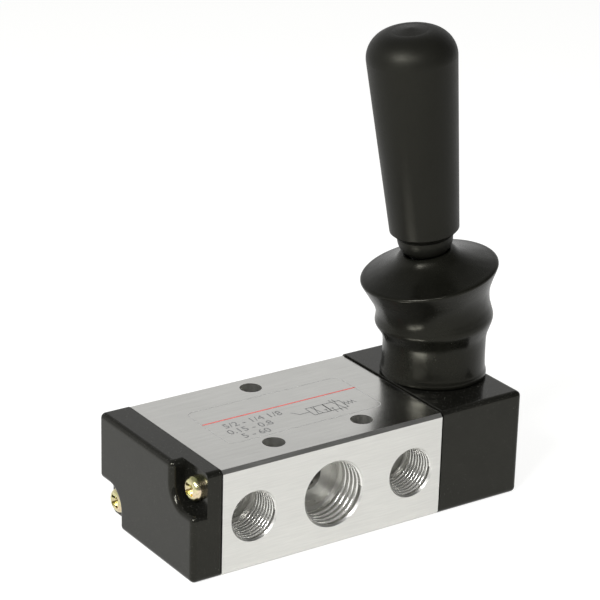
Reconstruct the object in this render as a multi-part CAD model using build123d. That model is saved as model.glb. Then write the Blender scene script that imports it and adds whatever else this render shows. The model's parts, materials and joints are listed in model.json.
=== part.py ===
"""Hand lever air valve: a 5/2 spool valve with a tilting lever, in millimetres.

Frame: +X runs along the spool from the end cap to the lever housing, +Y from the face with the
supply and exhaust ports to the face with the two outlets, +Z up. The origin is on the base of the
valve block, under the supply port's centre line and midway between the two port faces.
"""
import math
import os

from build123d import *

# ---------------------------------------------------------------- driving dimensions
BLOCK_LENGTH = 51.0
BODY_DEPTH = 35.0
BODY_HEIGHT = 22.0
CAP_LENGTH = 6.6
HOUSING_LENGTH = 20.1
CAP_TOP = 22.2
HOUSING_TOP = 22.4
SPOOL_Z = BODY_HEIGHT / 2

HALF_BLOCK = BLOCK_LENGTH / 2
HALF_DEPTH = BODY_DEPTH / 2
CAP_OUTER_X = -HALF_BLOCK - CAP_LENGTH
GASKET = 0.3
HOUSING_X0 = HALF_BLOCK + GASKET
HOUSING_X1 = HALF_BLOCK + HOUSING_LENGTH
BLOCK_EDGE = 0.7
CASTING_EDGE = 1.1

# ports: radii are those of the thread's crests cut to the full (major) diameter
QUARTER_R = 6.58
QUARTER_DRILL_R = 5.7
QUARTER_THREAD_DEPTH = 7.4
EIGHTH_R = 4.86
EIGHTH_DRILL_R = 4.1
EIGHTH_THREAD_DEPTH = 8.0
PORT_DEPTH = 9.4
PORT_CHAMFER = 0.38
EXHAUST_PITCH = 18.3
OUTLET_X = 11.35
PASSAGE_R = 3.2

# spool bore and its chambers
BORE_R = 6.0
CHAMBER_R = 7.6
CHAMBER_WIDTH = 4.4
CHAMBER_PITCH = EXHAUST_PITCH / 2
END_SEAL_R = 8.5
END_SEAL_WIDTH = 2.4
BEARING_WIDTH = 1.6

# mounting holes through the block
MOUNT_HOLE_R = 2.25
MOUNT_PAIR_X = 10.25
MOUNT_PAIR_Y = -11.4
MOUNT_SINGLE_Y = 12.6

# screws at two diagonal corners of each end
SCREW_Y = 13.9
SCREW_Z = 18.1
SCREW_R = 1.5
SCREW_CLEARANCE_R = 1.7
SCREW_HEAD_R = 2.45
SCREW_HEAD_H = 1.8
RECESS_DEPTH = 1.1
RECESS_SPAN = 2.9
RECESS_WIDTH = 0.8
RECESS_CONE_R = 1.15
SCREW_BITE = 6.0
SCREW_FIT = 0.05
CAP_FLOOR = 3.4
CAP_POCKET_R = 4.3
CAP_CAVITY_R = 5.6
CAP_CAVITY_DEPTH = 4.8
HEAD_POCKET_R = 3.3
HEAD_POCKET_DEPTH = 2.2

# spool
JOURNAL_R = 5.0
LAND_R = 5.85
WAIST_R = 3.6
SPOOL_END_X = -25.2
TAIL_END_X = 43.0
SEAL_WIDTH = 1.8
SEAL_DEPTH = 1.3
SEAL_XS = (-12.4, -0.2, 4.95, 17.15)
LAND_MARGIN = 0.9
RUNNING = 0.03

# lever: its arm from pivot to ball moves the spool by one stroke
LEVER_X = HALF_BLOCK + 10.3
PIVOT_Z = 28.5
ARM = PIVOT_Z - SPOOL_Z
REST_TILT = 7.8
BALL_R = 2.9
BALL_FIT = 0.06
ARM_R = 1.9
ROD_R = 3.0
EYE_R = 4.6
PIN_R = 1.5
PIN_HALF = 8.4
ROD_TOP = 44.0

# housing
COLLAR_R = 8.9
COLLAR_TOP = 31.0
COLLAR_BORE_R = 6.5
COLLAR_BEAD = 0.35
TAIL_BORE_R = 5.3
TAIL_BORE_END = HOUSING_X1 - 1.6

# detent in the back of the housing
DETENT_X = 29.0
DETENT_BALL_R = 1.5
DETENT_BORE_R = 1.6
DETENT_NOTCH = 0.45
DETENT_SCREW_R = 2.4
DETENT_SCREW_L = 4.0
DETENT_RECESS = 0.6
SPRING_WIRE_R = 0.2

# grip: heights along the lever axis from the pivot
GRIP_FOOT = 20.6
GRIP_NECK = 4.0
GRIP_CHAMFER = 1.4
GRIP_TOP = 68.1
GRIP_FOOT_R = 3.6
GRIP_NECK_R = 5.6
GRIP_CUP_R = 5.0
GRIP_CUP_RISE = 1.36
GRIP_LOW_R = 7.0
GRIP_HIGH_R = 8.95
GRIP_DOME = 5.4
GRIP_CROWN = 0.5
INSERT_R = 4.1
INSERT_LENGTH = 14.0
INSERT_FOOT = GRIP_FOOT + 2.0

# boot: (share of the lever's lean, height along the bent axis, outer radius)
BOOT_WALL = 1.2
BOOT_BASE = HOUSING_TOP + 0.1
BOOT_RING_LEAN = 1.4
BOOT_STATIONS = (
    (0.0, 0.0, 10.0),
    (0.0, 0.7, 10.85),
    (0.0, 4.3, 10.6),
    (0.05, 7.3, 10.75),
    (0.25, 9.8, 11.4),
    (0.4, 12.0, 11.95),
    (0.55, 14.3, 11.65),
    (0.75, 17.0, 11.95),
    (0.95, 20.3, 13.1),
    (1.0, 22.5, 14.0),
)
BOOT_CAP_RISE = 2.5
BOOT_NECK_R = 4.5
BOOT_RIM = 0.8


# ---------------------------------------------------------------- small helpers
def along_x(radius, x0, x1, y=0.0, z=SPOOL_Z):
    """Cylinder along X from x0 to x1."""
    return Location((x0, y, z), (0, 90, 0)) * Cylinder(
        radius, x1 - x0, align=(Align.CENTER, Align.CENTER, Align.MIN)
    )


def along_y(radius, y0, y1, x=0.0, z=SPOOL_Z):
    """Cylinder along Y from y0 to y1."""
    low, high = min(y0, y1), max(y0, y1)
    return Location((x, low, z), (-90, 0, 0)) * Cylinder(
        radius, high - low, align=(Align.CENTER, Align.CENTER, Align.MIN)
    )


def along_z(radius, z0, z1, x=0.0, y=0.0):
    """Cylinder along Z from z0 to z1."""
    return Pos(x, y, z0) * Cylinder(
        radius, z1 - z0, align=(Align.CENTER, Align.CENTER, Align.MIN)
    )


def brick(x0, x1, y0, y1, z0, z1):
    """Box between two corners."""
    middle = Pos((x0 + x1) / 2, (y0 + y1) / 2, (z0 + z1) / 2)
    return middle * Box(x1 - x0, y1 - y0, z1 - z0)


def span(x0, x1, y0, y1, z0, z1):
    """Box between two corners given in any order across Y and Z."""
    return brick(x0, x1, min(y0, y1), max(y0, y1), min(z0, z1), max(z0, z1))


def is_outer_edge(edge, flats):
    """Whether an edge lies in none of the planes of constant X given."""
    ends = [vertex.X for vertex in edge.vertices()]
    return not any(all(abs(x - flat) < 1e-4 for x in ends) for flat in flats)


def turned(points):
    """Solid of revolution about Z from (radius, height) points."""
    outline = make_face(Polyline([(r, 0, h) for r, h in points], close=True))
    return revolve(outline, Axis.Z)


def turned_x(points):
    """Solid of revolution about the spool axis from (x, radius) points."""
    outline = make_face(Polyline([(x, 0, SPOOL_Z + r) for x, r in points], close=True))
    return revolve(outline, Axis((0, 0, SPOOL_Z), (1, 0, 0)))


def tilted(shape):
    """Moves a shape from the lever's upright frame, pivot at zero, to its resting tilt."""
    return Location((LEVER_X, 0, PIVOT_Z), (0, -REST_TILT, 0)) * shape


def corner_pair():
    """The two diagonal screw places: front top and back bottom, as (y, z)."""
    return ((-SCREW_Y, SCREW_Z), (SCREW_Y, BODY_HEIGHT - SCREW_Z))


# ---------------------------------------------------------------- valve block
def port(x, side, radius, drill_radius, thread_depth, passage_x):
    """Cutter for one threaded port on the face at side * HALF_DEPTH."""
    face = side * HALF_DEPTH
    inner = face - side * thread_depth
    floor = face - side * PORT_DEPTH
    mouth = Location((x, face, SPOOL_Z), (side * 90, 0, 0)) * Cone(
        radius + PORT_CHAMFER, radius, PORT_CHAMFER, align=(Align.CENTER, Align.CENTER, Align.MIN)
    )
    return (
        along_y(radius, face, inner, x)
        + along_y(drill_radius, face, floor, x)
        + along_y(PASSAGE_R, face, side * BORE_R * 0.5, passage_x)
        + mouth
    )


def valve_block():
    """Drawn aluminium bar, bored for the spool and tapped on two faces."""
    bar = brick(-HALF_BLOCK, HALF_BLOCK, -HALF_DEPTH, HALF_DEPTH, 0, BODY_HEIGHT)
    bar = chamfer(bar.edges().filter_by(Axis.X), BLOCK_EDGE)
    bar -= along_x(BORE_R, -HALF_BLOCK, HALF_BLOCK)
    for step in range(-2, 3):
        middle = step * CHAMBER_PITCH
        bar -= along_x(CHAMBER_R, middle - CHAMBER_WIDTH / 2, middle + CHAMBER_WIDTH / 2)
    for end in (-1, 1):
        face = end * HALF_BLOCK
        inner = end * (HALF_BLOCK - END_SEAL_WIDTH)
        bar -= along_x(END_SEAL_R, min(face, inner), max(face, inner))
        tip = end * (HALF_BLOCK - SCREW_BITE - 1)
        for y, z in corner_pair():
            bar -= along_x(SCREW_R + SCREW_FIT, min(face, tip), max(face, tip), y, z)
    bar -= port(0, -1, QUARTER_R, QUARTER_DRILL_R, QUARTER_THREAD_DEPTH, 0)
    for side in (-1, 1):
        exhaust = side * EXHAUST_PITCH
        bar -= port(exhaust, -1, EIGHTH_R, EIGHTH_DRILL_R, EIGHTH_THREAD_DEPTH, exhaust)
        bar -= port(
            side * OUTLET_X, 1, QUARTER_R, QUARTER_DRILL_R, QUARTER_THREAD_DEPTH,
            side * CHAMBER_PITCH,
        )
    holes = [(0, MOUNT_SINGLE_Y), (-MOUNT_PAIR_X, MOUNT_PAIR_Y), (MOUNT_PAIR_X, MOUNT_PAIR_Y)]
    for x, y in holes:
        bar -= along_z(MOUNT_HOLE_R, 0, BODY_HEIGHT, x, y)
    return bar


# ---------------------------------------------------------------- end cap and its screws
def end_cap():
    """Cast cap over the free end of the spool, cut away round its two screw heads."""
    inner = -HALF_BLOCK - GASKET
    floor = -HALF_BLOCK - CAP_FLOOR
    cap = brick(CAP_OUTER_X, inner, -HALF_DEPTH, HALF_DEPTH, 0, CAP_TOP)
    for y, z in corner_pair():
        side = math.copysign(1, y)
        edge_z = BODY_HEIGHT + 1 if z > SPOOL_Z else -1
        near_z = z - math.copysign(CAP_POCKET_R, edge_z)
        outer_y = side * (HALF_DEPTH + 1)
        near_y = y - side * CAP_POCKET_R
        cap -= along_x(CAP_POCKET_R, CAP_OUTER_X - 1, floor, y, z)
        cap -= span(CAP_OUTER_X - 1, floor, y, outer_y, near_z, edge_z)
        cap -= span(CAP_OUTER_X - 1, floor, near_y, outer_y, z, edge_z)
    cap = fillet(cap.edges().filter_by(lambda e: is_outer_edge(e, (inner, floor))), CASTING_EDGE)
    cap -= along_x(CAP_CAVITY_R, inner - CAP_CAVITY_DEPTH, inner)
    for y, z in corner_pair():
        cap -= along_x(SCREW_CLEARANCE_R, floor - 1, inner, y, z)
    return cap


def gasket(x0):
    """Flat gasket between the block and a casting, open at the spool and the screws."""
    edge = BLOCK_EDGE
    sheet = brick(
        x0, x0 + GASKET, -HALF_DEPTH + edge, HALF_DEPTH - edge, edge, BODY_HEIGHT - edge
    )
    sheet -= along_x(CAP_CAVITY_R, x0, x0 + GASKET)
    for y, z in corner_pair():
        sheet -= along_x(SCREW_CLEARANCE_R, x0, x0 + GASKET, y, z)
    return sheet


def pan_screw(seat_x, direction, y, z, reach):
    """Cross-recess pan head screw: head on seat_x, shank running in direction for reach."""
    head = along_z(SCREW_HEAD_R, 0, SCREW_HEAD_H)
    head = fillet(head.edges().group_by(Axis.Z)[-1], SCREW_HEAD_H * 0.6)
    floor = SCREW_HEAD_H - RECESS_DEPTH
    for turn in (45, 135):
        wing = Box(RECESS_SPAN, RECESS_WIDTH, RECESS_DEPTH, align=(Align.CENTER, Align.CENTER, Align.MIN))
        head -= Pos(0, 0, floor) * Rot(0, 0, turn) * wing
    head -= Pos(0, 0, floor) * Cone(
        RECESS_CONE_R / 2, RECESS_CONE_R, RECESS_DEPTH, align=(Align.CENTER, Align.CENTER, Align.MIN)
    )
    shank = along_z(SCREW_R, -reach, 0)
    screw = head + shank
    return Location((seat_x, y, z), (0, -90 * direction, 0)) * screw


# ---------------------------------------------------------------- lever housing
def lever_housing():
    """Casting that holds the pivot collar, the spool's tail and the detent."""
    box = brick(HOUSING_X0, HOUSING_X1, -HALF_DEPTH, HALF_DEPTH, 0, HOUSING_TOP)
    box = fillet(box.edges().filter_by(lambda e: is_outer_edge(e, (HOUSING_X0,))), CASTING_EDGE)
    box += along_z(COLLAR_R, BODY_HEIGHT - 1, COLLAR_TOP, LEVER_X)
    box += along_z(COLLAR_R + COLLAR_BEAD, COLLAR_TOP - 3.5, COLLAR_TOP - 2, LEVER_X)
    box -= along_z(COLLAR_BORE_R, SPOOL_Z - 5, COLLAR_TOP, LEVER_X)
    box -= along_x(TAIL_BORE_R, HOUSING_X0, TAIL_BORE_END)
    box -= along_y(PIN_R + 0.02, -PIN_HALF - 0.1, PIN_HALF + 0.1, LEVER_X, PIVOT_Z)
    for y, z in corner_pair():
        box -= along_x(SCREW_CLEARANCE_R, HOUSING_X0, HOUSING_X1, y, z)
        box -= along_x(HEAD_POCKET_R, HOUSING_X1 - HEAD_POCKET_DEPTH, HOUSING_X1 + 1, y, z)
    box -= along_y(DETENT_BORE_R, 0, HALF_DEPTH, DETENT_X)
    box -= along_y(
        DETENT_SCREW_R + 0.05, HALF_DEPTH - DETENT_RECESS - DETENT_SCREW_L, HALF_DEPTH, DETENT_X
    )
    return box


def pivot_pin():
    """Steel pin across the collar."""
    pin = along_y(PIN_R, -PIN_HALF, PIN_HALF, LEVER_X, PIVOT_Z)
    return chamfer(pin.edges().filter_by(GeomType.CIRCLE), 0.25)


# ---------------------------------------------------------------- detent
def detent_seat():
    """Y of the detent ball's centre: just clear of the ridge between the notches."""
    return JOURNAL_R + RUNNING + DETENT_BALL_R


def detent_ball():
    return Pos(DETENT_X, detent_seat(), SPOOL_Z) * Sphere(DETENT_BALL_R)


def detent_screw_foot():
    return HALF_DEPTH - DETENT_RECESS - DETENT_SCREW_L


def detent_spring():
    """Coil that presses the ball on the spool, between ball and set screw."""
    start = detent_seat() + DETENT_BALL_R + SPRING_WIRE_R + 0.05
    height = detent_screw_foot() - start - SPRING_WIRE_R - 0.05
    radius = DETENT_BORE_R - SPRING_WIRE_R - 0.15
    path = Helix(pitch=height / 4, height=height, radius=radius)
    profile = Plane(origin=path @ 0, z_dir=path % 0) * Circle(SPRING_WIRE_R)
    coil = sweep(profile, path=path, is_frenet=True)
    return Location((DETENT_X, start, SPOOL_Z), (-90, 0, 0)) * coil


def detent_screw():
    """Set screw with a hexagon socket that closes the detent bore."""
    foot = detent_screw_foot()
    screw = along_y(DETENT_SCREW_R, foot, foot + DETENT_SCREW_L, DETENT_X)
    socket = Location((DETENT_X, foot + DETENT_SCREW_L, SPOOL_Z), (90, 0, 0)) * extrude(
        RegularPolygon(1.4, 6), 2.0
    )
    return screw - socket


# ---------------------------------------------------------------- spool
def spool():
    """Turned spool: journals, four grooved lands, and a slotted and notched tail."""
    points = [(SPOOL_END_X, 0), (SPOOL_END_X, JOURNAL_R - 0.3), (SPOOL_END_X + 0.3, JOURNAL_R)]
    last = SEAL_XS[0] - SEAL_WIDTH / 2 - LAND_MARGIN
    points.append((last - 3.0, JOURNAL_R))
    points.append((last - 1.6, WAIST_R))
    groove_r = LAND_R - SEAL_DEPTH
    for centre in SEAL_XS:
        low, high = centre - SEAL_WIDTH / 2, centre + SEAL_WIDTH / 2
        points += [(low - LAND_MARGIN, WAIST_R), (low - LAND_MARGIN, LAND_R), (low, LAND_R)]
        points += [(low, groove_r), (high, groove_r), (high, LAND_R)]
        points += [(high + LAND_MARGIN, LAND_R), (high + LAND_MARGIN, WAIST_R)]
    tail_start = SEAL_XS[-1] + SEAL_WIDTH / 2 + LAND_MARGIN + 0.4
    points += [(tail_start, WAIST_R), (tail_start + 1.4, JOURNAL_R)]
    points += [(TAIL_END_X - 0.4, JOURNAL_R), (TAIL_END_X, JOURNAL_R - 0.4), (TAIL_END_X, 0)]
    body = turned_x(points)
    slot_x = LEVER_X + ARM * math.sin(math.radians(REST_TILT))
    half = BALL_R + BALL_FIT
    body -= brick(slot_x - half, slot_x + half, -half, half, SPOOL_Z - half - 0.1, SPOOL_Z + 8)
    stroke = ARM * math.radians(2 * REST_TILT)
    depth_r = DETENT_BALL_R + 0.05
    for notch in (DETENT_X, DETENT_X + stroke):
        centre = JOURNAL_R + depth_r - DETENT_NOTCH
        body -= Pos(notch, centre, SPOOL_Z) * Sphere(depth_r)
    return body


def spool_seal(centre):
    """Rubber ring in a land groove, with a rounded running edge."""
    low, high = centre - SEAL_WIDTH / 2 + 0.02, centre + SEAL_WIDTH / 2 - 0.02
    inner, outer = LAND_R - SEAL_DEPTH + 0.02, BORE_R - RUNNING
    points = [(low, inner), (low, outer - 0.45), (low + 0.45, outer), (high - 0.45, outer)]
    points += [(high, outer - 0.45), (high, inner)]
    return turned_x(points)


def end_seal(end):
    """Static rod seal in the counterbore at one end of the block."""
    outer = end * (HALF_BLOCK - 0.02)
    inner = end * (HALF_BLOCK - END_SEAL_WIDTH + 0.02)
    low, high = min(outer, inner), max(outer, inner)
    return along_x(END_SEAL_R - 0.02, low, high) - along_x(JOURNAL_R + RUNNING, low, high)


def end_bearing(end):
    """Low-friction guide ring in the bore beside the end seal."""
    near = end * (HALF_BLOCK - END_SEAL_WIDTH)
    far = end * (HALF_BLOCK - END_SEAL_WIDTH - BEARING_WIDTH)
    low, high = min(near, far), max(near, far)
    return along_x(BORE_R - 0.02, low, high) - along_x(JOURNAL_R + RUNNING, low, high)


# ---------------------------------------------------------------- lever
def lever_rod():
    """Steel lever: ball foot, arm, pivot eye and threaded shank."""
    rod = along_z(ARM_R, -ARM, -EYE_R)
    rod += Pos(0, 0, -ARM) * Sphere(BALL_R)
    rod += turned([(0, -7.5), (ARM_R, -7.5), (ROD_R, -6.0), (ROD_R, 0), (0, 0)])
    rod += Sphere(EYE_R)
    rod += along_z(ROD_R, 0, ROD_TOP)
    rod -= along_y(PIN_R + 0.04, -EYE_R - 1, EYE_R + 1, 0, 0)
    return tilted(rod)


def grip_profile():
    """Outer outline of the grip about the lever axis, from foot to crown."""
    shoulder = GRIP_TOP - GRIP_CROWN - GRIP_DOME
    flank = GRIP_FOOT + GRIP_NECK
    foot = Line((0, 0, GRIP_FOOT), (GRIP_FOOT_R, 0, GRIP_FOOT))
    neck = ThreePointArc(foot @ 1, (GRIP_CUP_R, 0, GRIP_FOOT + GRIP_CUP_RISE), (GRIP_NECK_R, 0, flank))
    bevel = Line(neck @ 1, (GRIP_LOW_R, 0, flank + GRIP_CHAMFER))
    side = Line(bevel @ 1, (GRIP_HIGH_R, 0, shoulder))
    flat_r = GRIP_HIGH_R - GRIP_DOME
    bend = GRIP_DOME * math.sqrt(0.5)
    dome = ThreePointArc(
        side @ 1, (flat_r + bend, 0, shoulder + bend), (flat_r, 0, shoulder + GRIP_DOME)
    )
    crown = Line(dome @ 1, (0, 0, GRIP_TOP))
    spine = Line(crown @ 1, foot @ 0)
    return make_face([foot, neck, bevel, side, dome, crown, spine])


def grip():
    """Moulded handle over the threaded insert."""
    body = revolve(grip_profile(), Axis.Z)
    body -= along_z(ROD_R + 0.2, GRIP_FOOT - 1, INSERT_FOOT)
    body -= along_z(INSERT_R, INSERT_FOOT, INSERT_FOOT + INSERT_LENGTH)
    body -= along_z(ROD_R + 0.05, INSERT_FOOT + INSERT_LENGTH, ROD_TOP + 1)
    return tilted(body)


def grip_insert():
    """Brass insert that the shank screws into."""
    low, high = INSERT_FOOT + 0.02, INSERT_FOOT + INSERT_LENGTH - 0.02
    return tilted(along_z(INSERT_R - 0.02, low, high) - along_z(ROD_R + 0.03, low, high))


# ---------------------------------------------------------------- boot
def boot_axis(share, height):
    """Centre of a boot ring: above the pivot it moves over with the lever by the given share."""
    rise = max(BOOT_BASE + height - PIVOT_Z, 0)
    lean = rise * share * math.sin(math.radians(REST_TILT))
    return (LEVER_X - lean, 0, BOOT_BASE + height)


def boot_place(share, height):
    """Place of a boot ring, leaning a little more than the lever as rubber does."""
    return Location(boot_axis(share, height), (0, -REST_TILT * BOOT_RING_LEAN * share, 0))


def boot_shell(shrink, rise):
    """Loft of circles up the bent axis, shrunk by a wall and closed by a shallow cone."""
    rings = []
    for share, height, radius in BOOT_STATIONS:
        rings.append(boot_place(share, height) * Circle(radius - shrink))
    trunk = loft(rings, ruled=True)
    share, height, rim = BOOT_STATIONS[-1]
    top = boot_place(share, height)
    rim_r = rim - shrink
    cone = turned([(0, 0), (rim_r, 0), (rim_r - 0.3, BOOT_RIM), (BOOT_NECK_R, rise), (0, rise)])
    return trunk + top * cone


def boot():
    """Rubber dust boot from the collar to the lever."""
    outer = boot_shell(0, BOOT_CAP_RISE)
    inner = boot_shell(BOOT_WALL, BOOT_CAP_RISE - BOOT_WALL)
    shell = outer - inner
    shell -= tilted(along_z(ROD_R + 0.3, 0, 30))
    shell -= along_z(COLLAR_R + COLLAR_BEAD + 0.05, BODY_HEIGHT, COLLAR_TOP, LEVER_X)
    return shell


def main():
    os.makedirs("parts", exist_ok=True)
    cap_seat = -HALF_BLOCK - CAP_FLOOR
    housing_seat = HOUSING_X1 - HEAD_POCKET_DEPTH
    pieces = {
        "valve_block": valve_block(),
        "end_cap": end_cap(),
        "end_cap_gasket": gasket(-HALF_BLOCK - GASKET),
        "lever_housing": lever_housing(),
        "housing_gasket": gasket(HALF_BLOCK),
        "pivot_pin": pivot_pin(),
        "detent_ball": detent_ball(),
        "detent_spring": detent_spring(),
        "detent_screw": detent_screw(),
        "spool": spool(),
        "end_seal_left": end_seal(-1),
        "end_seal_right": end_seal(1),
        "end_bearing_left": end_bearing(-1),
        "end_bearing_right": end_bearing(1),
        "lever_rod": lever_rod(),
        "grip": grip(),
        "grip_insert": grip_insert(),
        "boot": boot(),
    }
    for name, (y, z) in zip(("top", "bottom"), corner_pair()):
        pieces[f"end_cap_screw_{name}"] = pan_screw(cap_seat, 1, y, z, CAP_FLOOR + SCREW_BITE)
        reach = housing_seat - HALF_BLOCK + SCREW_BITE
        pieces[f"housing_screw_{name}"] = pan_screw(housing_seat, -1, y, z, reach)
    for number, centre in enumerate(SEAL_XS, 1):
        pieces[f"spool_seal_{number}"] = spool_seal(centre)
    for name, shape in pieces.items():
        export_step(shape, f"parts/{name}.step")


main()
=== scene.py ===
import json
import math

import bmesh
import bpy
from bpy.props import FloatProperty, FloatVectorProperty, IntProperty, PointerProperty
from mathutils import Euler, Matrix, Vector


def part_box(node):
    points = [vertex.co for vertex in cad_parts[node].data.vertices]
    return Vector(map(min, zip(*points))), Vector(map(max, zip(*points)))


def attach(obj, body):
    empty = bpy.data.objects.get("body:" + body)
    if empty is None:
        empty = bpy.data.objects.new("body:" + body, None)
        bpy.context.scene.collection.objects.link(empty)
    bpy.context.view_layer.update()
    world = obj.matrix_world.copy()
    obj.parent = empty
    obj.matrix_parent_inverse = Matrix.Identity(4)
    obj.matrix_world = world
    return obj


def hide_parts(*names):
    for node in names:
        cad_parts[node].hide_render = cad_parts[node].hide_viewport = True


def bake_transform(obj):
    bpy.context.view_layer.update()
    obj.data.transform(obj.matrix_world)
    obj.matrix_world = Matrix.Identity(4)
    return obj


bl_info = {
    "name": "Hand lever air valve",
    "version": (1, 0, 0),
    "blender": (4, 5, 0),
    "location": "3D View > Sidebar > Air Valve",
    "description": "Dresses the valve's solids: threads, boot, print and finishes",
    "category": "Add Mesh",
}

MM = 0.001

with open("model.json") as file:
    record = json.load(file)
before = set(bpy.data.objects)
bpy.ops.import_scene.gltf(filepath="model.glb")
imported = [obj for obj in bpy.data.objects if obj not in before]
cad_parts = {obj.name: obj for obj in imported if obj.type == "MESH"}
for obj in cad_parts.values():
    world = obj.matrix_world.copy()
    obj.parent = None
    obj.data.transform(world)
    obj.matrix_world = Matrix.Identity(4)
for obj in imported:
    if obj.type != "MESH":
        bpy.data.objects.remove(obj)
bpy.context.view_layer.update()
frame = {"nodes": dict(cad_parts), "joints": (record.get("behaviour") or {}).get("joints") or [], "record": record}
MOUNTS = {mount["name"]: mount for mount in frame["record"]["mounts"]}
JOINTS = {joint["name"]: joint for joint in frame["joints"]}
PIVOT = Vector(JOINTS["lever_tilt"]["pos_m"])
REST_LEAN = math.radians(JOINTS["lever_tilt"]["range_deg"][1]) / 2
BLOCK_HIGH = Vector(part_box("valve_block")[1])
BOOT_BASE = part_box("boot")[0][2]
INCH = 25.4 * MM


# ---------------------------------------------------------------- settings a user would change
class ThreadSettings(bpy.types.PropertyGroup):
    """Sizes of the pipe threads cut in the ports."""

    quarter_per_inch: IntProperty(
        name="G1/4 turns per inch", description="Turns per inch of the larger ports", default=19
    )
    eighth_per_inch: IntProperty(
        name="G1/8 turns per inch", description="Turns per inch of the smaller ports", default=28
    )
    height_share: FloatProperty(
        name="Height share", description="Thread height over pitch", default=0.64, min=0.1, max=0.9
    )
    crest_share: FloatProperty(
        name="Crest share", description="Flat crest over pitch", default=0.16, min=0.02, max=0.5
    )
    steps: IntProperty(name="Steps", description="Steps in each turn", default=72, min=12)


class BootSettings(bpy.types.PropertyGroup):
    """Sizes of the rubber dust boot."""

    wall: FloatProperty(
        name="Wall", description="Rubber thickness", default=1.1 * MM, unit="LENGTH",
        subtype="DISTANCE",
    )
    bend_start: FloatProperty(
        name="Bend start", description="Height above the block where the boot starts to follow",
        default=4.0 * MM, unit="LENGTH", subtype="DISTANCE",
    )
    bend_end: FloatProperty(
        name="Bend end", description="Height above the block from which it follows the lever",
        default=20.5 * MM, unit="LENGTH", subtype="DISTANCE",
    )
    sides: IntProperty(name="Sides", description="Facets round the boot", default=128, min=16)


class PrintSettings(bpy.types.PropertyGroup):
    """Sizes of the print on the top face."""

    line_width: FloatProperty(
        name="Line width", description="Width of the fine lines", default=0.16 * MM,
        unit="LENGTH", subtype="DISTANCE",
    )
    red_width: FloatProperty(
        name="Red line width", description="Width of the red line", default=0.34 * MM,
        unit="LENGTH", subtype="DISTANCE",
    )
    figure_height: FloatProperty(
        name="Figure height", description="Height of the printed numbers", default=2.7 * MM,
        unit="LENGTH", subtype="DISTANCE",
    )
    ink_height: FloatProperty(
        name="Ink height", description="How far the ink stands proud", default=0.02 * MM,
        unit="LENGTH", subtype="DISTANCE",
    )


def colour_property(name, default):
    """A colour setting with a plain description."""
    return FloatVectorProperty(
        name=name, description=f"Base colour of the {name.lower()}", default=default,
        subtype="COLOR", size=3, min=0, max=1,
    )


class ColourSettings(bpy.types.PropertyGroup):
    """Base colours of the finishes."""

    aluminium: colour_property("Aluminium", (0.70, 0.695, 0.665))
    enamel: colour_property("Black enamel", (0.006, 0.006, 0.005))
    rubber: colour_property("Boot rubber", (0.004, 0.004, 0.003))
    grip: colour_property("Grip plastic", (0.005, 0.005, 0.004))
    zinc: colour_property("Yellow zinc", (0.66, 0.68, 0.30))
    steel: colour_property("Steel", (0.62, 0.62, 0.61))
    brass: colour_property("Brass", (0.72, 0.52, 0.24))
    seal: colour_property("Seal rubber", (0.02, 0.02, 0.02))
    bearing: colour_property("Bearing plastic", (0.80, 0.78, 0.72))
    red_ink: colour_property("Red ink", (0.62, 0.10, 0.09))
    grey_ink: colour_property("Grey ink", (0.15, 0.15, 0.15))
    pale_ink: colour_property("Pale ink", (0.33, 0.33, 0.32))


class StageSettings(bpy.types.PropertyGroup):
    """Camera and light."""

    azimuth: FloatProperty(
        name="Azimuth", description="Turn of the camera about +Z from looking along +Y",
        default=math.radians(-34.53), unit="ROTATION", subtype="ANGLE",
    )
    elevation: FloatProperty(
        name="Elevation", description="Height of the camera over the horizon",
        default=math.radians(21.48), unit="ROTATION", subtype="ANGLE",
    )
    roll: FloatProperty(
        name="Roll", description="Turn of the camera about its own line of sight",
        default=math.radians(1.55), unit="ROTATION", subtype="ANGLE",
    )
    distance: FloatProperty(
        name="Distance", description="Camera to target", default=0.45, unit="LENGTH",
        subtype="DISTANCE",
    )
    target: FloatVectorProperty(
        name="Target", description="Point the camera looks at", default=(-0.00745, -0.01483, 0.05175),
        size=3, subtype="TRANSLATION", unit="LENGTH",
    )
    lens: FloatProperty(
        name="Lens", description="Focal length in camera millimetres on a 36 mm sensor",
        default=145.3,
    )
    key_power: FloatProperty(
        name="Key power", description="Power of the soft box", default=3.2, unit="POWER",
    )


SETTING_GROUPS = {
    "valve_threads": ThreadSettings,
    "valve_boot": BootSettings,
    "valve_print": PrintSettings,
    "valve_colours": ColourSettings,
    "valve_stage": StageSettings,
}


# ---------------------------------------------------------------- mesh helpers
def add_piece(name, mesh, material, body=None):
    """An object at the origin that shows the mesh in one material."""
    piece = bpy.data.objects.new(name, mesh)
    bpy.context.scene.collection.objects.link(piece)
    piece.data.materials.clear()
    piece.data.materials.append(material)
    if body:
        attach(piece, body)
    return piece


def smooth_path(points, steps):
    """Points on a Catmull-Rom curve through (radius, height) points."""
    path = []
    last = len(points) - 1
    for index in range(last):
        before = Vector(points[max(index - 1, 0)])
        start, end = Vector(points[index]), Vector(points[index + 1])
        after = Vector(points[min(index + 2, last)])
        for step in range(steps):
            t = step / steps
            path.append(0.5 * (
                2 * start + (end - before) * t
                + (2 * before - 5 * start + 4 * end - after) * t ** 2
                + (3 * start - before - 3 * end + after) * t ** 3
            ))
    path.append(Vector(points[last]))
    return path


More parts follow.
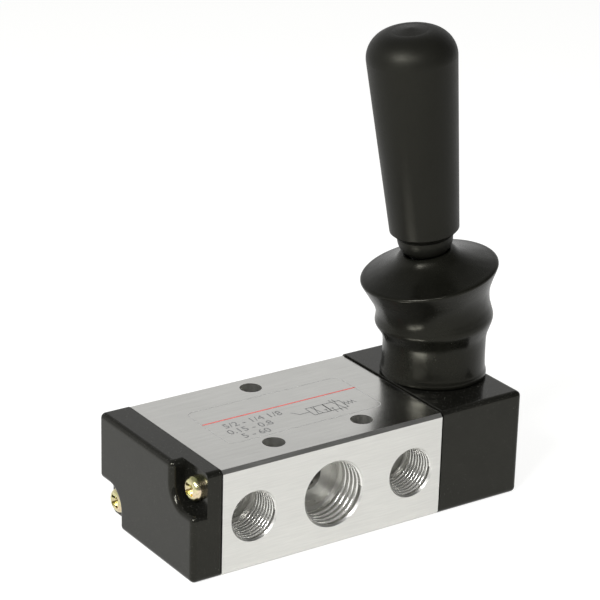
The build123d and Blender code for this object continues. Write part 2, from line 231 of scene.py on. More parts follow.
def lathe_mesh(name, outline, sides):
    """Closed mesh of a closed (radius, height) outline turned about Z."""
    shape = bmesh.new()
    rings = []
    for side in range(sides):
        turn = 2 * math.pi * side / sides
        rings.append([
            shape.verts.new((radius * math.cos(turn), radius * math.sin(turn), height))
            for radius, height in outline
        ])
    count = len(outline)
    for side in range(sides):
        here, there = rings[side], rings[(side + 1) % sides]
        for index in range(count):
            after = (index + 1) % count
            shape.faces.new((here[index], there[index], there[after], here[after]))
    bmesh.ops.remove_doubles(shape, verts=shape.verts, dist=1e-7)
    bmesh.ops.recalc_face_normals(shape, faces=shape.faces)
    for face in shape.faces:
        face.smooth = True
    mesh = bpy.data.meshes.new(name)
    shape.to_mesh(mesh)
    shape.free()
    return mesh


def ribbon(shape, points, width, low, high, closed=False):
    """Adds a flat bar of the given width along a line of (x, y) points to a bmesh."""
    line = [Vector(point) for point in points]
    count = len(line)
    rails = []
    for index, point in enumerate(line):
        before = line[index - 1] if closed or index else None
        after = line[(index + 1) % count] if closed or index < count - 1 else None
        along_in = (point - before).normalized() if before is not None else None
        along_out = (after - point).normalized() if after is not None else None
        along_in = along_in or along_out
        along_out = along_out or along_in
        across = Vector((-(along_in + along_out).y, (along_in + along_out).x)).normalized()
        reach = width / 2 / max(across.dot(Vector((-along_in.y, along_in.x))), 0.3)
        sides = (point + across * reach, point - across * reach)
        rails.append([shape.verts.new((*side, z)) for z in (low, high) for side in sides])
    loops = range(count) if closed else range(count - 1)
    for index in loops:
        a, b = rails[index], rails[(index + 1) % count]
        for i, j in ((0, 1), (1, 3), (3, 2), (2, 0)):
            shape.faces.new((a[i], a[j], b[j], b[i]))
    if not closed:
        for end in (rails[0], rails[-1]):
            shape.faces.new((end[0], end[1], end[3], end[2]))


def finished_mesh(name, shape):
    """Mesh of a bmesh with its faces turned outwards."""
    bmesh.ops.recalc_face_normals(shape, faces=shape.faces)
    mesh = bpy.data.meshes.new(name)
    shape.to_mesh(mesh)
    shape.free()
    return mesh


# ---------------------------------------------------------------- material helpers
class Shading:
    """A material's node tree with short calls to add and join nodes."""

    def __init__(self, name):
        self.material = bpy.data.materials.new(name)
        self.material.use_nodes = True
        self.tree = self.material.node_tree
        self.surface = self.tree.nodes["Principled BSDF"]
        self.place = self.add("ShaderNodeTexCoord").outputs["Object"]

    def add(self, kind, **settings):
        node = self.tree.nodes.new(kind)
        for key, value in settings.items():
            setattr(node, key, value)
        return node

    def join(self, source, target):
        self.tree.links.new(source, target)

    def set(self, **values):
        """Sets constants on the surface's own sockets, with spaces for underscores."""
        for key, value in values.items():
            self.surface.inputs[key.replace("_", " ")].default_value = value

    def noise(self, scale, detail=3.0, stretch=(1, 1, 1), roughness=0.5, distortion=0.0):
        """Noise on object coordinates; stretch multiplies the frequency on each axis."""
        mapping = self.add("ShaderNodeMapping")
        mapping.inputs["Scale"].default_value = stretch
        self.join(self.place, mapping.inputs["Vector"])
        noise = self.add("ShaderNodeTexNoise")
        noise.inputs["Scale"].default_value = scale
        noise.inputs["Detail"].default_value = detail
        noise.inputs["Roughness"].default_value = roughness
        noise.inputs["Distortion"].default_value = distortion
        self.join(mapping.outputs["Vector"], noise.inputs["Vector"])
        return noise.outputs["Fac"]

    def spread(self, value, low, high, start=0.3, end=0.7):
        """Maps a value from start..end to low..high."""
        node = self.add("ShaderNodeMapRange")
        node.inputs["From Min"].default_value = start
        node.inputs["From Max"].default_value = end
        node.inputs["To Min"].default_value = low
        node.inputs["To Max"].default_value = high
        self.join(value, node.inputs["Value"])
        return node.outputs["Result"]

    def math(self, operation, first, second):
        """Arithmetic on two values, each a socket or a number."""
        node = self.add("ShaderNodeMath", operation=operation)
        for value, socket in zip((first, second), node.inputs):
            if isinstance(value, bpy.types.NodeSocket):
                self.join(value, socket)
            else:
                socket.default_value = value
        return node.outputs["Value"]

    def blend(self, factor, first, second):
        """Colour between two colours, each a socket or a tuple."""
        node = self.add("ShaderNodeMix", data_type="RGBA")
        self.join(factor, node.inputs["Factor"])
        for value, socket in ((first, node.inputs[6]), (second, node.inputs[7])):
            if isinstance(value, bpy.types.NodeSocket):
                self.join(value, socket)
            else:
                socket.default_value = (*value, 1)
        return node.outputs[2]

    def bump(self, height, distance, strength=1.0, under=None):
        """Adds a bump from a height, over an earlier one."""
        node = self.add("ShaderNodeBump")
        node.inputs["Strength"].default_value = strength
        node.inputs["Distance"].default_value = distance
        self.join(height, node.inputs["Height"])
        if under is not None:
            self.join(under, node.inputs["Normal"])
        return node.outputs["Normal"]

    def paint(self, colour=None, roughness=None, normal=None):
        """Joins what varies to the surface."""
        for socket, value in (("Base Color", colour), ("Roughness", roughness), ("Normal", normal)):
            if value is not None:
                self.join(value, self.surface.inputs[socket])
        return self.material


def shade(colour, share):
    """A colour made darker or lighter by a share."""
    return tuple(min(1.0, channel * share) for channel in colour)


# ---------------------------------------------------------------- finishes
WARM_GLOSS = (1.0, 0.98, 0.84, 1.0)
DUST = (0.09, 0.088, 0.08)
ZINC_BLUSH = (0.78, 0.62, 0.46)
LEVEL_FACE = 0.9
UPWARD_POLISH = -0.15


def drawn_aluminium(colour):
    """Bar aluminium: fine draw lines along X over wider soft bands, smoother where it faces up."""
    s = Shading("drawn_aluminium")
    lines = s.noise(1.0, 4.0, (170, 3200, 3200), 0.6, 0.4)
    bands = s.noise(1.0, 2.0, (60, 1100, 1100), 0.5)
    cloud = s.noise(160, 2.0)
    mixed = s.math("ADD", s.math("MULTIPLY", lines, 0.7), s.math("MULTIPLY", bands, 0.3))
    tint = s.blend(s.spread(mixed, 0, 1, 0.36, 0.64), shade(colour, 0.95), shade(colour, 1.05))
    face = s.add("ShaderNodeSeparateXYZ")
    s.join(s.add("ShaderNodeNewGeometry").outputs["Normal"], face.inputs["Vector"])
    upward = s.spread(face.outputs["Z"], 0.0, 1.0, LEVEL_FACE, 1.0)
    rough = s.math("ADD", s.spread(cloud, 0.33, 0.38), s.math("MULTIPLY", upward, UPWARD_POLISH))
    rough = s.math("ADD", rough, s.spread(lines, -0.03, 0.04))
    s.set(Metallic=1.0)
    return s.paint(tint, rough, s.bump(mixed, 0.000012, 0.3))


def painted_bright_thread(colour):
    """Aluminium of the port threads, its colour raised above the block's aluminium as a painted highlight."""
    s = Shading("thread_aluminium_painted_bright")
    chatter = s.noise(2600, 2.0)
    s.set(Metallic=0.8)
    # Painted highlight: the thread colour is the block's aluminium raised 1.1 to 1.25 times, so the threads read
    # as bright lines.
    tint = s.blend(s.spread(chatter, 0, 1), shade(colour, 1.1), shade(colour, 1.25))
    return s.paint(tint, s.spread(chatter, 0.14, 0.26), s.bump(chatter, 0.000008, 0.4))


def black_enamel(colour):
    """Gloss black enamel over a casting, with a slight orange peel and fine dust."""
    s = Shading("black_enamel")
    peel = s.noise(900, 2.0)
    wear = s.noise(260, 4.0, roughness=0.65)
    specks = s.noise(5200, 1.0)
    dust = s.spread(specks, 0, 1, 0.70, 0.76)
    tint = s.blend(dust, s.blend(s.spread(wear, 0, 1), shade(colour, 0.8), shade(colour, 1.3)),
                   DUST)
    rough = s.math("ADD", s.spread(wear, 0.10, 0.20), s.math("MULTIPLY", dust, 0.15))
    s.set(Specular_IOR_Level=0.26, Specular_Tint=WARM_GLOSS)
    return s.paint(tint, rough, s.bump(peel, 0.00004, 0.25))


def boot_rubber(colour):
    """Moulded rubber with a soft gloss and faint bloom."""
    s = Shading("boot_rubber")
    bloom = s.noise(110, 4.0, roughness=0.6)
    grain = s.noise(1800, 2.0)
    waves = s.noise(240, 2.0)
    tint = s.blend(s.spread(bloom, 0, 1), shade(colour, 0.75), shade(colour, 1.5))
    rough = s.math("ADD", s.spread(bloom, 0.20, 0.30), s.spread(grain, -0.02, 0.02))
    s.set(Specular_IOR_Level=0.19, Specular_Tint=WARM_GLOSS)
    return s.paint(tint, rough, s.bump(grain, 0.00001, 0.2, s.bump(waves, 0.0002, 0.35)))


def grip_plastic(colour):
    """Satin moulded plastic with a fine spark-eroded grain."""
    s = Shading("grip_plastic")
    grain = s.noise(2600, 3.0)
    patch = s.noise(70, 3.0)
    tint = s.blend(s.spread(patch, 0, 1), shade(colour, 0.85), shade(colour, 1.25))
    rough = s.math("ADD", s.spread(patch, 0.40, 0.48), s.spread(grain, -0.04, 0.04))
    s.set(Specular_IOR_Level=0.19, Specular_Tint=WARM_GLOSS)
    return s.paint(tint, rough, s.bump(grain, 0.00003, 0.35))


def yellow_zinc(colour):
    """Yellow passivated zinc plate with drifting hue."""
    s = Shading("yellow_zinc")
    hue = s.noise(420, 3.0)
    scuff = s.noise(3000, 3.0)
    warm = s.blend(s.spread(hue, 0, 1), colour, ZINC_BLUSH)
    s.set(Metallic=1.0)
    tint = s.blend(s.spread(scuff, 0, 1, 0.5, 0.8), warm, shade(colour, 0.55))
    return s.paint(tint, s.spread(scuff, 0.14, 0.30), s.bump(scuff, 0.00002, 0.4))


def turned_metal(name, colour, low=0.2, high=0.34):
    """Plain machined metal with faint tool marks."""
    s = Shading(name)
    marks = s.noise(1.0, 2.0, (4200, 600, 600))
    s.set(Metallic=1.0)
    tint = s.blend(s.spread(marks, 0, 1), shade(colour, 0.88), shade(colour, 1.1))
    return s.paint(tint, s.spread(marks, low, high), s.bump(marks, 0.00001, 0.3))


def matt_moulding(name, colour, low=0.5, high=0.65):
    """Plain matt rubber or plastic."""
    s = Shading(name)
    grain = s.noise(1500, 3.0)
    tint = s.blend(s.spread(grain, 0, 1), shade(colour, 0.8), shade(colour, 1.2))
    return s.paint(tint, s.spread(grain, low, high), s.bump(grain, 0.00002, 0.3))


def printed_ink(name, colour):
    """Thin satin ink, slightly uneven."""
    s = Shading(name)
    thin = s.noise(1700, 3.0)
    tint = s.blend(s.spread(thin, 0, 1), shade(colour, 0.85), shade(colour, 1.25))
    return s.paint(tint, s.spread(thin, 0.4, 0.55))


# ---------------------------------------------------------------- finishes of the solids
def dress(nodes, material):
    """Gives CAD nodes a material in place of their plain one."""
    for node in nodes:
        solid = frame["nodes"][node]
        for slot in solid.material_slots:
            slot.material = material
        if not solid.material_slots:
            solid.data.materials.append(material)


class VALVE_OT_dress_body(bpy.types.Operator):
    """Finish the aluminium block and the black castings"""

    bl_idname = "valve.dress_body"
    bl_label = "Body finishes"

    def execute(self, context):
        colours = context.scene.valve_colours
        dress(["valve_block"], drawn_aluminium(colours.aluminium))
        dress(["end_cap", "lever_housing"], black_enamel(colours.enamel))
        seals = matt_moulding("seal_rubber", colours.seal)
        dress(["end_cap_gasket", "housing_gasket", "end_seal_left", "end_seal_right"], seals)
        return {"FINISHED"}


class VALVE_OT_dress_hardware(bpy.types.Operator):
    """Finish the screws, pin, detent and spool"""

    bl_idname = "valve.dress_hardware"
    bl_label = "Hardware finishes"

    def execute(self, context):
        colours = context.scene.valve_colours
        screws = [node for node in frame["nodes"] if "_screw_" in node]
        dress(screws, yellow_zinc(colours.zinc))
        steel = turned_metal("ground_steel", colours.steel)
        dress(["pivot_pin", "detent_ball", "detent_spring", "detent_screw", "lever_rod"], steel)
        dress(["spool"], turned_metal("turned_spool", colours.aluminium))
        dress([f"spool_seal_{number}" for number in range(1, 5)], bpy.data.materials["seal_rubber"])
        dress(["grip_insert"], turned_metal("turned_brass", colours.brass))
        bearings = matt_moulding("bearing_plastic", colours.bearing)
        dress(["end_bearing_left", "end_bearing_right"], bearings)
        return {"FINISHED"}


class VALVE_OT_dress_grip(bpy.types.Operator):
    """Finish the moulded grip"""

    bl_idname = "valve.dress_grip"
    bl_label = "Grip finish"

    def execute(self, context):
        dress(["grip"], grip_plastic(context.scene.valve_colours.grip))
        return {"FINISHED"}


# ---------------------------------------------------------------- threads
LARGE_PORT_R_MM = 5.5
RUN_OUT_TURNS = 0.6
FIRST_TURN = 0.25
FADE_TURNS = 0.5
THINNEST = 0.02
ROOT_HALF_SHARE = 0.495
ROOT_BITE_SHARE = 0.04


def new_tree(name, inputs):
    """A geometry node group with named inputs, given as (name, socket type, default)."""
    tree = bpy.data.node_groups.new(name, "GeometryNodeTree")
    for label, kind, default in inputs:
        socket = tree.interface.new_socket(name=label, in_out="INPUT", socket_type=kind)
        if default is not None:
            socket.default_value = default
    tree.interface.new_socket(name="Geometry", in_out="OUTPUT", socket_type="NodeSocketGeometry")
    return tree, tree.nodes.new("NodeGroupInput"), tree.nodes.new("NodeGroupOutput")


def tree_math(tree, operation, first, second):
    """Arithmetic node in a geometry tree; each value is a socket or a number."""
    node = tree.nodes.new("ShaderNodeMath")
    node.operation = operation
    for value, socket in zip((first, second), node.inputs):
        if isinstance(value, bpy.types.NodeSocket):
            tree.links.new(value, socket)
        else:
            socket.default_value = value
    return node.outputs["Value"]


def thread_tree():
    """Ridge of an internal thread: a trapezoid swept along a spiral, thin at both ends."""
    tree, given, result = new_tree("internal_thread", [
        ("Major Radius", "NodeSocketFloat", 6.58 * MM),
        ("Pitch", "NodeSocketFloat", 1.337 * MM),
        ("Height Share", "NodeSocketFloat", 0.64),
        ("Crest Share", "NodeSocketFloat", 0.16),
        ("Turns", "NodeSocketFloat", 5.0),
        ("Steps", "NodeSocketInt", 72),
        ("Fade", "NodeSocketFloat", 0.08),
        ("Material", "NodeSocketMaterial", None),
    ])
    link = tree.links.new
    spiral = tree.nodes.new("GeometryNodeCurveSpiral")
    link(given.outputs["Steps"], spiral.inputs["Resolution"])
    link(given.outputs["Turns"], spiral.inputs["Rotations"])
    link(given.outputs["Major Radius"], spiral.inputs["Start Radius"])
    link(given.outputs["Major Radius"], spiral.inputs["End Radius"])
    height = tree_math(tree, "MULTIPLY", given.outputs["Turns"], given.outputs["Pitch"])
    link(height, spiral.inputs["Height"])

    upright = tree.nodes.new("GeometryNodeSetCurveNormal")
    upright.mode = "Z_UP"
    link(spiral.outputs["Curve"], upright.inputs["Curve"])
    along = tree.nodes.new("GeometryNodeSplineParameter").outputs["Factor"]
    from_end = tree_math(tree, "SUBTRACT", 1.0, along)
    nearest = tree_math(tree, "MINIMUM", along, from_end)
    full = tree_math(tree, "MINIMUM", tree_math(tree, "DIVIDE", nearest, given.outputs["Fade"]), 1.0)
    thickness = tree.nodes.new("GeometryNodeSetCurveRadius")
    link(upright.outputs["Curve"], thickness.inputs["Curve"])
    link(tree_math(tree, "MAXIMUM", full, THINNEST), thickness.inputs["Radius"])

    half_base = tree_math(tree, "MULTIPLY", given.outputs["Pitch"], ROOT_HALF_SHARE)
    crest = tree_math(tree, "MULTIPLY", given.outputs["Pitch"], given.outputs["Crest Share"])
    half_crest = tree_math(tree, "MULTIPLY", crest, 0.5)
    deep = tree_math(tree, "MULTIPLY", given.outputs["Pitch"], given.outputs["Height Share"])
    inward = tree_math(tree, "MULTIPLY", deep, -1.0)
    outline = tree.nodes.new("GeometryNodeCurvePrimitiveQuadrilateral")
    outline.mode = "POINTS"
    root = tree_math(tree, "MULTIPLY", deep, ROOT_BITE_SHARE)
    corners = ((root, half_base, 1), (inward, half_crest, 1), (inward, half_crest, -1),
               (root, half_base, -1))
    for number, (x, y, sign) in enumerate(corners, 1):
        corner = tree.nodes.new("ShaderNodeCombineXYZ")
        link(x, corner.inputs["X"])
        link(tree_math(tree, "MULTIPLY", y, float(sign)), corner.inputs["Y"])
        link(corner.outputs["Vector"], outline.inputs[f"Point {number}"])

    sweep = tree.nodes.new("GeometryNodeCurveToMesh")
    sweep.inputs["Fill Caps"].default_value = True
    link(thickness.outputs["Curve"], sweep.inputs["Curve"])
    link(outline.outputs["Curve"], sweep.inputs["Profile Curve"])
    real = tree.nodes.new("GeometryNodeRealizeInstances")
    link(sweep.outputs["Mesh"], real.inputs["Geometry"])
    coat = tree.nodes.new("GeometryNodeSetMaterial")
    link(real.outputs["Geometry"], coat.inputs["Geometry"])
    link(given.outputs["Material"], coat.inputs["Material"])
    link(coat.outputs["Geometry"], result.inputs["Geometry"])
    return tree


def grown_mesh(name, tree, values):
    """Plain mesh of a geometry tree run once with the given named inputs."""
    seed = bpy.data.objects.new(name, bpy.data.meshes.new(f"{name}_seed"))
    bpy.context.scene.collection.objects.link(seed)
    grower = seed.modifiers.new("grow", "NODES")
    grower.node_group = tree
    sockets = {
        item.name: item.identifier
        for item in tree.interface.items_tree if item.in_out == "INPUT"
    }
    for label, value in values.items():
        grower[sockets[label]] = value
    bpy.context.view_layer.update()
    graph = bpy.context.evaluated_depsgraph_get()
    mesh = bpy.data.meshes.new_from_object(seed.evaluated_get(graph))
    bpy.data.objects.remove(seed)
    mesh.name = name
    return mesh


class VALVE_OT_threads(bpy.types.Operator):
    """Cut the pipe threads in the five ports"""

    bl_idname = "valve.threads"
    bl_label = "Port threads"

    def execute(self, context):
        settings = context.scene.valve_threads
        material = painted_bright_thread(context.scene.valve_colours.aluminium)
        tree = thread_tree()
        for name, mount in MOUNTS.items():
            if mount["kind"] != "threaded_hole":
                continue
            radius = mount["dims"]["r_mm"] * MM
            length = mount["dims"]["length_mm"] * MM
            large = mount["dims"]["r_mm"] > LARGE_PORT_R_MM
            per_inch = settings.quarter_per_inch if large else settings.eighth_per_inch
            pitch = INCH / per_inch
            mesh = grown_mesh(f"thread_{name}", tree, {
                "Major Radius": radius, "Pitch": pitch, "Height Share": settings.height_share,
                "Crest Share": settings.crest_share, "Turns": length / pitch - RUN_OUT_TURNS,
                "Steps": settings.steps, "Fade": FADE_TURNS * pitch / length, "Material": material,
            })
            inward = -Vector(mount["axis"])
            turn = Vector((0, 0, 1)).rotation_difference(inward).to_matrix().to_4x4()
            start = Vector(mount["pos_m"]) + inward * pitch * FIRST_TURN
            mesh.transform(Matrix.Translation(start) @ turn)
            shape = bmesh.new()
            shape.from_mesh(mesh)
            bmesh.ops.recalc_face_normals(shape, faces=shape.faces)
            shape.to_mesh(mesh)
            shape.free()
            add_piece(f"thread_{name}", mesh, material, "valve_body")
        return {"FINISHED"}


# ---------------------------------------------------------------- boot
BOOT_OUTLINE = (
    (9.75, 0.0), (10.4, 0.0), (10.85, 0.4), (10.82, 1.1), (10.6, 2.0), (10.5, 4.3), (10.5, 7.3),
    (10.72, 8.9), (11.3, 10.3), (11.85, 11.5), (12.0, 12.3), (11.82, 13.3), (11.58, 14.7),
    (11.66, 16.3), (12.05, 17.9), (12.85, 19.8), (13.6, 21.4), (14.0, 22.3),
)
BOOT_TOP = (
    (14.0, 22.3), (13.96, 22.62), (13.6, 22.9), (12.4, 23.25), (9.5, 24.3), (7.0, 25.6),
    (5.7, 26.9), (5.1, 27.2), (4.7, 27.1), (4.2, 26.6), (3.9, 26.2),
)
SMOOTH_STEPS = 5
SEAT_OPENING = 0.2
NECK_HOLE_R = 3.9
CROWN_HEIGHT = 22.0
RUBBER_SET = (0.30 * MM, 0.15 * MM)
FRONT_LIFT = 0.04
NECK_RADIUS = 4.0 * MM
FREE_RADIUS = 10.0 * MM
RING_LEAN = 0.4


def lean_with_lever(mesh, start, end):
    """Bends a mesh from upright at start to the resting lever's lean at end.

    Each ring also leans a little further about its own centre, as rubber does, and has
    taken a set: moved over away from the cap and raised at the front.
    """
    seat_shift, rim_shift = RUBBER_SET
    for vertex in mesh.vertices:
        height = vertex.co.z - BLOCK_HIGH.z
        share = min(1.0, max(0.0, (height - start) / (end - start)))
        share = share * share * (3 - 2 * share)
        centre = Vector((PIVOT.x, PIVOT.y, vertex.co.z))
        tip = Matrix.Rotation(-REST_LEAN * RING_LEAN * share, 3, "Y")
        tipped = centre + tip @ (vertex.co - centre)
        across = Vector((vertex.co.x - PIVOT.x, vertex.co.y - PIVOT.y)).length
        loose = min(1.0, max(0.0, (across - NECK_RADIUS) / (FREE_RADIUS - NECK_RADIUS)))
        tipped.x += loose * (seat_shift + rim_shift * share)
        tipped.z -= FRONT_LIFT * (vertex.co.y - PIVOT.y) * share
        turn = Matrix.Rotation(-REST_LEAN * share, 3, "Y")
        vertex.co = PIVOT + turn @ (tipped - PIVOT)


class VALVE_OT_boot(bpy.types.Operator):
    """Mould the rubber boot between housing and lever"""

    bl_idname = "valve.boot"
    bl_label = "Dust boot"

    def execute(self, context):
        settings = context.scene.valve_boot
        outside = smooth_path(BOOT_OUTLINE, SMOOTH_STEPS)[:-1] + smooth_path(BOOT_TOP, SMOOTH_STEPS)
        wall = settings.wall / MM
        inside = [
            Vector((max(point.x - wall, NECK_HOLE_R), point.y - (wall if point.y > CROWN_HEIGHT else 0)))
            for point in reversed(outside) if point.y > SEAT_OPENING
        ]
        outline = [point * MM for point in outside + inside]
        mesh = lathe_mesh("dust_boot", outline, settings.sides)
        mesh.transform(Matrix.Translation((PIVOT.x, PIVOT.y, BOOT_BASE)))
        start, end = settings.bend_start, settings.bend_end
        lean_with_lever(mesh, start, end)
        boot = add_piece("dust_boot", mesh, boot_rubber(context.scene.valve_colours.rubber))
        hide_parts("boot")
        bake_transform(boot)
        return {"FINISHED"}


# ---------------------------------------------------------------- print on the top face
PRINT_HALF_X = 18.0
PRINT_LOW_Y = -8.0
PRINT_HIGH_Y = 8.3
PRINT_CORNER = 1.6
RED_LINE_Y = 2.1
RED_LINE_X = (-18.0, 18.2)
CORNER_STEPS = 8
SYMBOL_ORIGIN = Vector((3.6, -5.0))
SYMBOL_UNIT = 1.55
SYMBOL_WEIGHT = 1.15
NUMBER_ROWS = (("5/2 - 1/4 1/8", -14.9, -1.5), ("0.15 - 0.8", -15.6, -4.3), ("5 - 60", -14.0, -7.0))


def rounded_frame():
    """Corner points of the print's rounded frame, in millimetres."""
    points = []
    middle_y = (PRINT_LOW_Y + PRINT_HIGH_Y) / 2
    half_y = (PRINT_HIGH_Y - PRINT_LOW_Y) / 2
    for quarter, (sx, sy) in enumerate(((1, 1), (-1, 1), (-1, -1), (1, -1))):
        centre = Vector((sx * (PRINT_HALF_X - PRINT_CORNER), middle_y + sy * (half_y - PRINT_CORNER)))
        for step in range(CORNER_STEPS + 1):
            turn = math.radians(90 * quarter + 90 * step / CORNER_STEPS)
            points.append(centre + PRINT_CORNER * Vector((math.cos(turn), math.sin(turn))))
    return points


def symbol_lines():
    """Lines of the five-port two-position valve symbol, in boxes two units wide."""
    lines = []
    for left in (0.0, 2.6):
        box = ((left, 0), (left + 2.6, 0), (left + 2.6, 2.2), (left, 2.2), (left, 0))
        lines.append(box)
    lines += [((0.6, 0), (1.2, 2.2)), ((1.3, 0), (0.75, 2.2)), ((2.1, 0), (2.1, 0.7))]
    lines += [((1.85, 0.7), (2.35, 0.7))]
    lines += [((3.9, 0), (4.5, 2.2)), ((4.6, 0), (4.0, 2.2)), ((3.1, 0), (3.1, 0.7))]
    lines += [((2.85, 0.7), (3.35, 0.7))]
    for foot in (3.1, 3.9, 4.6):
        lines.append(((foot, 0), (foot, -0.7)))
    lines += [((4.0, 2.2), (4.0, 2.9)), ((4.5, 2.2), (4.5, 2.9))]
    lines.append(((0, 1.1), (-1.6, 1.1), (-2.3, 2.1)))
    spring = [(5.2 + 0.28 * step, 1.5 if step % 2 else 0.7) for step in range(7)]
    lines.append(tuple(spring))
    return lines


def figure_mesh(words, height, place, ink):
    """Flat printed numbers as a thin mesh."""
    curve = bpy.data.curves.new("figures", "FONT")
    curve.body = words
    curve.size = height
    curve.extrude = ink
    holder = bpy.data.objects.new("figures", curve)
    bpy.context.scene.collection.objects.link(holder)
    graph = bpy.context.evaluated_depsgraph_get()
    mesh = bpy.data.meshes.new_from_object(holder.evaluated_get(graph))
    bpy.data.objects.remove(holder)
    mesh.transform(Matrix.Translation(place))
    return mesh


class VALVE_OT_print(bpy.types.Operator):
    """Print the line, frame, plain numbers and valve symbol on the top face"""

    bl_idname = "valve.print"
    bl_label = "Top print"

    def execute(self, context):
        settings = context.scene.valve_print
        colours = context.scene.valve_colours
        top = BLOCK_HIGH.z
        low, high = top - settings.ink_height, top + settings.ink_height
        grey = printed_ink("grey_ink", colours.grey_ink)
        pale = printed_ink("pale_ink", colours.pale_ink)
        red = printed_ink("red_ink", colours.red_ink)

        shape = bmesh.new()
        line = [(x * MM, RED_LINE_Y * MM) for x in RED_LINE_X]
        ribbon(shape, line, settings.red_width, low, high)
        add_piece("print_red_line", finished_mesh("print_red_line", shape), red, "valve_body")

        shape = bmesh.new()
        ribbon(shape, [point * MM for point in rounded_frame()], settings.line_width, low, high, True)
        add_piece("print_frame", finished_mesh("print_frame", shape), pale, "valve_body")

        shape = bmesh.new()
        for points in symbol_lines():
            placed = [(SYMBOL_ORIGIN + SYMBOL_UNIT * Vector(point)) * MM for point in points]
            ribbon(shape, placed, settings.line_width * SYMBOL_WEIGHT, low, high)
        add_piece("print_symbol", finished_mesh("print_symbol", shape), grey, "valve_body")

        shape = bmesh.new()
        for words, x, y in NUMBER_ROWS:
            place = Vector((x * MM, y * MM, top))
            mesh = figure_mesh(words, settings.figure_height, place, settings.ink_height)
            shape.from_mesh(mesh)
            bpy.data.meshes.remove(mesh)
        bmesh.ops.remove_doubles(shape, verts=shape.verts, dist=1e-7)
        add_piece("print_numbers", finished_mesh("print_numbers", shape), grey, "valve_body")
        return {"FINISHED"}


# ---------------------------------------------------------------- stage
FLOOR_HALF = 3.0
FLOOR_DROP = 0.00005
TABLE_GLOW_SEEN = 0.76
TABLE_GLOW_REFLECTED = 0.56
WORLD_LEVELS = (
    (0.0, 0.85), (0.48, 0.85), (0.52, 0.80), (0.70, 0.76), (0.78, 0.42), (0.86, 0.30), (1.0, 0.35),
)
WORLD_BRIGHT_SIDE = (-0.2, 0.98, 0.0)
WORLD_DIM_SIDE = 0.28
WORLD_SIDE_FADE = (-0.35, 0.45)
TABLE_PAINT = (0.8, 0.8, 0.79, 1)
TABLE_SHEEN = (0.40, 0.40, 0.39, 1)
TABLE_GLOW = (1, 1, 0.995, 1)
LAMP_TARGET = Vector((0.01, 0, 0.04))
FILL_SHARE = 1.1
SPARK_SHARE = 0.12
CAMERA_NEAR = 0.01


def floor_material():
    """Table that glows near white to the camera, less in reflections, and is plain paint to the rest."""
    material = bpy.data.materials.new("white_table")
    material.use_nodes = True
    tree = material.node_tree
    tree.nodes.clear()
    link = tree.links.new
    matt = tree.nodes.new("ShaderNodeBsdfDiffuse")
    matt.inputs["Color"].default_value = TABLE_PAINT
    faint = tree.nodes.new("ShaderNodeBsdfDiffuse")
    faint.inputs["Color"].default_value = TABLE_SHEEN
    glow = tree.nodes.new("ShaderNodeEmission")
    glow.inputs["Color"].default_value = TABLE_GLOW
    seen = tree.nodes.new("ShaderNodeAddShader")
    link(faint.outputs[0], seen.inputs[0])
    link(glow.outputs[0], seen.inputs[1])
    light_path = tree.nodes.new("ShaderNodeLightPath")
    strength = tree.nodes.new("ShaderNodeMapRange")
    strength.inputs["To Min"].default_value = TABLE_GLOW_REFLECTED
    strength.inputs["To Max"].default_value = TABLE_GLOW_SEEN
    link(light_path.outputs["Is Camera Ray"], strength.inputs["Value"])
    link(strength.outputs["Result"], glow.inputs["Strength"])
    shown = tree.nodes.new("ShaderNodeMath")
    shown.operation = "MAXIMUM"
    link(light_path.outputs["Is Camera Ray"], shown.inputs[0])
    link(light_path.outputs["Is Glossy Ray"], shown.inputs[1])
    mix = tree.nodes.new("ShaderNodeMixShader")
    link(shown.outputs[0], mix.inputs["Fac"])
    link(matt.outputs[0], mix.inputs[1])
    link(seen.outputs[0], mix.inputs[2])
    output = tree.nodes.new("ShaderNodeOutputMaterial")
    link(mix.outputs[0], output.inputs["Surface"])
    return material


def studio_world():
    """White to the camera; to the object a pale horizon, dim on one side, under a darker ceiling."""
    world = bpy.data.worlds.new("studio")
    world.use_nodes = True
    tree = world.node_tree
    link = tree.links.new
    sky = tree.nodes["Background"]
    place = tree.nodes.new("ShaderNodeTexCoord")
    split = tree.nodes.new("ShaderNodeSeparateXYZ")
    link(place.outputs["Generated"], split.inputs["Vector"])
    ramp = tree.nodes.new("ShaderNodeValToRGB")
    elements = ramp.color_ramp.elements
    while len(elements) < len(WORLD_LEVELS):
        elements.new(0.5)
    for element, (place_on_ramp, level) in zip(elements, WORLD_LEVELS):
        element.position = place_on_ramp
        element.color = (level, level, level, 1)
    halved = tree.nodes.new("ShaderNodeMapRange")
    halved.inputs["From Min"].default_value = -1
    link(split.outputs["Z"], halved.inputs["Value"])
    link(halved.outputs["Result"], ramp.inputs["Fac"])
    white = tree.nodes.new("ShaderNodeBackground")
    white.inputs["Color"].default_value = (1, 1, 1, 1)
    light_path = tree.nodes.new("ShaderNodeLightPath")
    mix = tree.nodes.new("ShaderNodeMixShader")
    link(ramp.outputs["Color"], sky.inputs["Color"])
    facing = tree.nodes.new("ShaderNodeVectorMath")
    facing.operation = "DOT_PRODUCT"
    facing.inputs[1].default_value = WORLD_BRIGHT_SIDE
    link(place.outputs["Generated"], facing.inputs[0])
    side = tree.nodes.new("ShaderNodeMapRange")
    side.interpolation_type = "SMOOTHSTEP"
    side.inputs["From Min"].default_value, side.inputs["From Max"].default_value = WORLD_SIDE_FADE
    side.inputs["To Min"].default_value = WORLD_DIM_SIDE
    link(facing.outputs["Value"], side.inputs["Value"])
    link(side.outputs["Result"], sky.inputs["Strength"])
    link(light_path.outputs["Is Camera Ray"], mix.inputs["Fac"])
    link(sky.outputs[0], mix.inputs[1])
    link(white.outputs[0], mix.inputs[2])
    link(mix.outputs[0], tree.nodes["World Output"].inputs["Surface"])
    return world


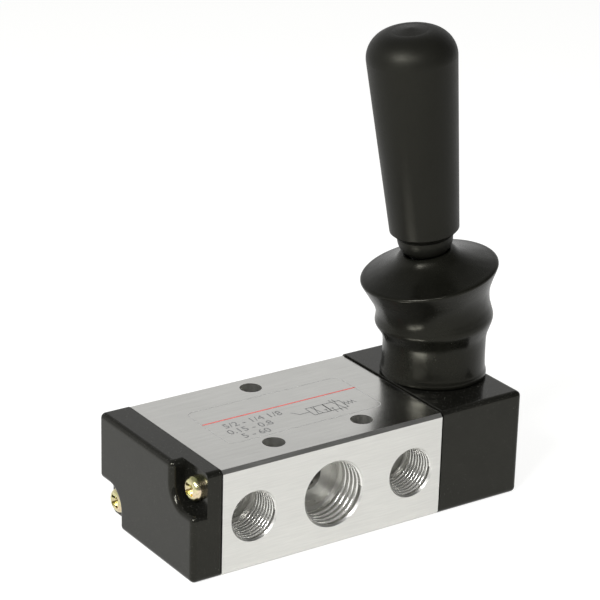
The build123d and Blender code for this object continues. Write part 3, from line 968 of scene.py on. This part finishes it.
def soft_box(name, towards, distance, size, power):
    """Area light that looks at the object's middle from a direction."""
    data = bpy.data.lights.new(name, "AREA")
    data.shape = "RECTANGLE"
    data.size, data.size_y = size
    data.energy = power
    lamp = bpy.data.objects.new(name, data)
    bpy.context.scene.collection.objects.link(lamp)
    direction = Vector(towards).normalized()
    lamp.location = LAMP_TARGET + direction * distance
    lamp.rotation_euler = direction.to_track_quat("Z", "Y").to_euler()
    return lamp


class VALVE_OT_stage(bpy.types.Operator):
    """Lay the white table, the lights and the camera"""

    bl_idname = "valve.stage"
    bl_label = "Stage"

    def execute(self, context):
        settings = context.scene.valve_stage
        shape = bmesh.new()
        corners = [(x * FLOOR_HALF, y * FLOOR_HALF, -FLOOR_DROP)
                   for x, y in ((-1, -1), (1, -1), (1, 1), (-1, 1))]
        shape.faces.new([shape.verts.new(corner) for corner in corners])
        mesh = bpy.data.meshes.new("table")
        shape.to_mesh(mesh)
        shape.free()
        add_piece("table", mesh, floor_material())
        context.scene.world = studio_world()

        soft_box("key_box", (-0.78, -0.32, 0.60), 0.55, (0.26, 0.14), settings.key_power)
        fill = soft_box("fill_box", (0.1, -1.0, 0.7), 0.9, (0.6, 0.4), settings.key_power * FILL_SHARE)
        fill.visible_glossy = False
        spark_power = settings.key_power * SPARK_SHARE
        soft_box("spark_box", (-0.40, -0.72, 0.62), 0.50, (0.03, 0.03), spark_power)

        camera = bpy.data.objects.new("camera", bpy.data.cameras.new("camera"))
        context.scene.collection.objects.link(camera)
        camera.data.lens = settings.lens
        turn = Euler((math.pi / 2 - settings.elevation, 0, settings.azimuth)).to_matrix()
        turn = turn @ Matrix.Rotation(settings.roll, 3, "Z")
        backward = turn @ Vector((0, 0, 1))
        camera.location = Vector(settings.target) + backward * settings.distance
        camera.rotation_euler = turn.to_euler()
        camera.data.clip_start = CAMERA_NEAR
        context.scene.camera = camera
        context.scene.view_settings.view_transform = "Standard"
        return {"FINISHED"}


# ---------------------------------------------------------------- panel and registration
OPERATORS = (
    VALVE_OT_dress_body,
    VALVE_OT_dress_hardware,
    VALVE_OT_dress_grip,
    VALVE_OT_threads,
    VALVE_OT_boot,
    VALVE_OT_print,
    VALVE_OT_stage,
)


class VALVE_PT_sidebar(bpy.types.Panel):
    """Lists the valve's pieces in the order they are made"""

    bl_idname = "VALVE_PT_sidebar"
    bl_label = "Air valve"
    bl_space_type = "VIEW_3D"
    bl_region_type = "UI"
    bl_category = "Air Valve"

    def draw(self, context):
        for operator in OPERATORS:
            self.layout.operator(operator.bl_idname)
        for group in SETTING_GROUPS:
            settings = getattr(context.scene, group)
            box = self.layout.box()
            for name in settings.__annotations__:
                box.prop(settings, name)


def register():
    for group, settings in SETTING_GROUPS.items():
        bpy.utils.register_class(settings)
        setattr(bpy.types.Scene, group, PointerProperty(type=settings))
    for item in (*OPERATORS, VALVE_PT_sidebar):
        bpy.utils.register_class(item)


def unregister():
    for item in (VALVE_PT_sidebar, *reversed(OPERATORS)):
        bpy.utils.unregister_class(item)
    for group, settings in SETTING_GROUPS.items():
        delattr(bpy.types.Scene, group)
        bpy.utils.unregister_class(settings)


def main():
    register()
    for operator in OPERATORS:
        family, name = operator.bl_idname.split(".")
        getattr(getattr(bpy.ops, family), name)()


if __name__ == "__main__":
    main()
